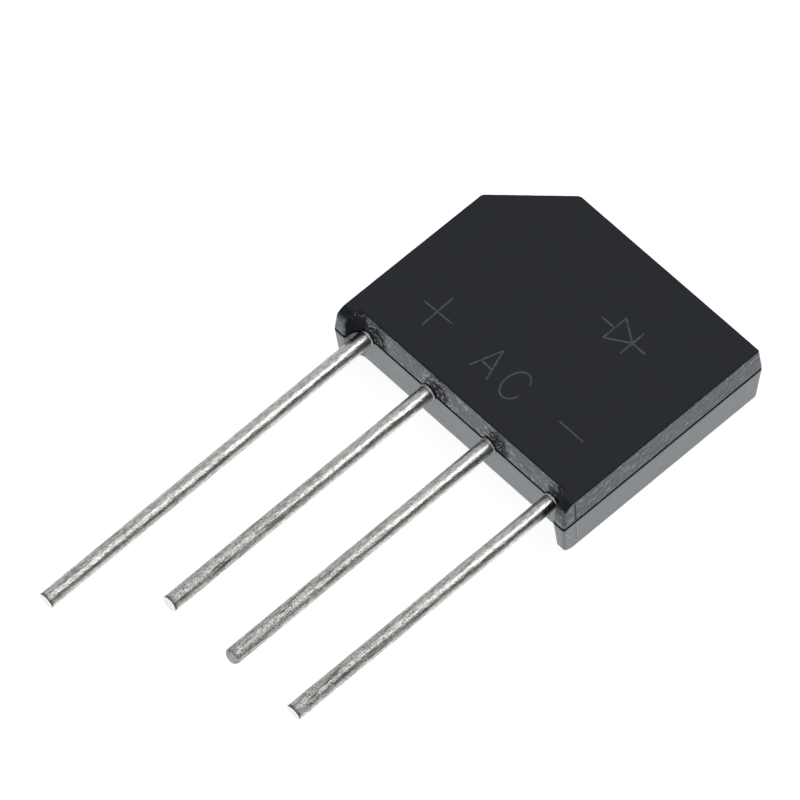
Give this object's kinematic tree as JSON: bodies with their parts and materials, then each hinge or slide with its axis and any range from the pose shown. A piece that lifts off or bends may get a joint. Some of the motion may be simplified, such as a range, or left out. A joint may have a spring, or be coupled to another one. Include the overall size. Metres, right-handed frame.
{
  "type": "bridge rectifier",
  "caption": "Flat in-line bridge rectifier: a black moulded case with one chamfered corner, short stand-off feet and tinned wire leads in a row along one edge.",
  "frame": {"origin": "centre of the case's flat back face", "axes": "+X along the row of leads from the positive to the negative lead, +Y from the leads towards the far edge, +Z out of the marked face"},
  "size_m": [0.0144, 0.0301, 0.0037],
  "materials": {
    "case_resin": "matte moulded epoxy, fine eroded texture",
    "tinned_wire": "dipped tin with drawn streaks and small pits",
    "frame_copper": "bare stamped copper",
    "solder": "dull reflowed solder",
    "silicon": "polished silicon"
  },
  "bodies": {
    "root": {"ac_strap_left": "frame_copper", "ac_strap_right": "frame_copper", "diode_chip_negative_left": "silicon", "diode_chip_negative_right": "silicon", "diode_chip_positive_left": "silicon", "diode_chip_positive_right": "silicon", "lead_ac_left": "tinned_wire", "lead_ac_right": "tinned_wire", "lead_negative": "tinned_wire", "lead_positive": "tinned_wire", "lead_solder_ac_left": "solder", "lead_solder_ac_right": "solder", "lead_solder_negative": "solder", "lead_solder_positive": "solder", "moulded_case": "case_resin", "negative_bus_plate": "frame_copper", "positive_bus_plate": "frame_copper", "solder_over_chip_negative_left": "solder", "solder_over_chip_negative_right": "solder", "solder_over_chip_positive_left": "solder", "solder_over_chip_positive_right": "solder", "solder_under_chip_negative_left": "solder", "solder_under_chip_negative_right": "solder", "solder_under_chip_positive_left": "solder", "solder_under_chip_positive_right": "solder"}
  },
  "joints": []
}
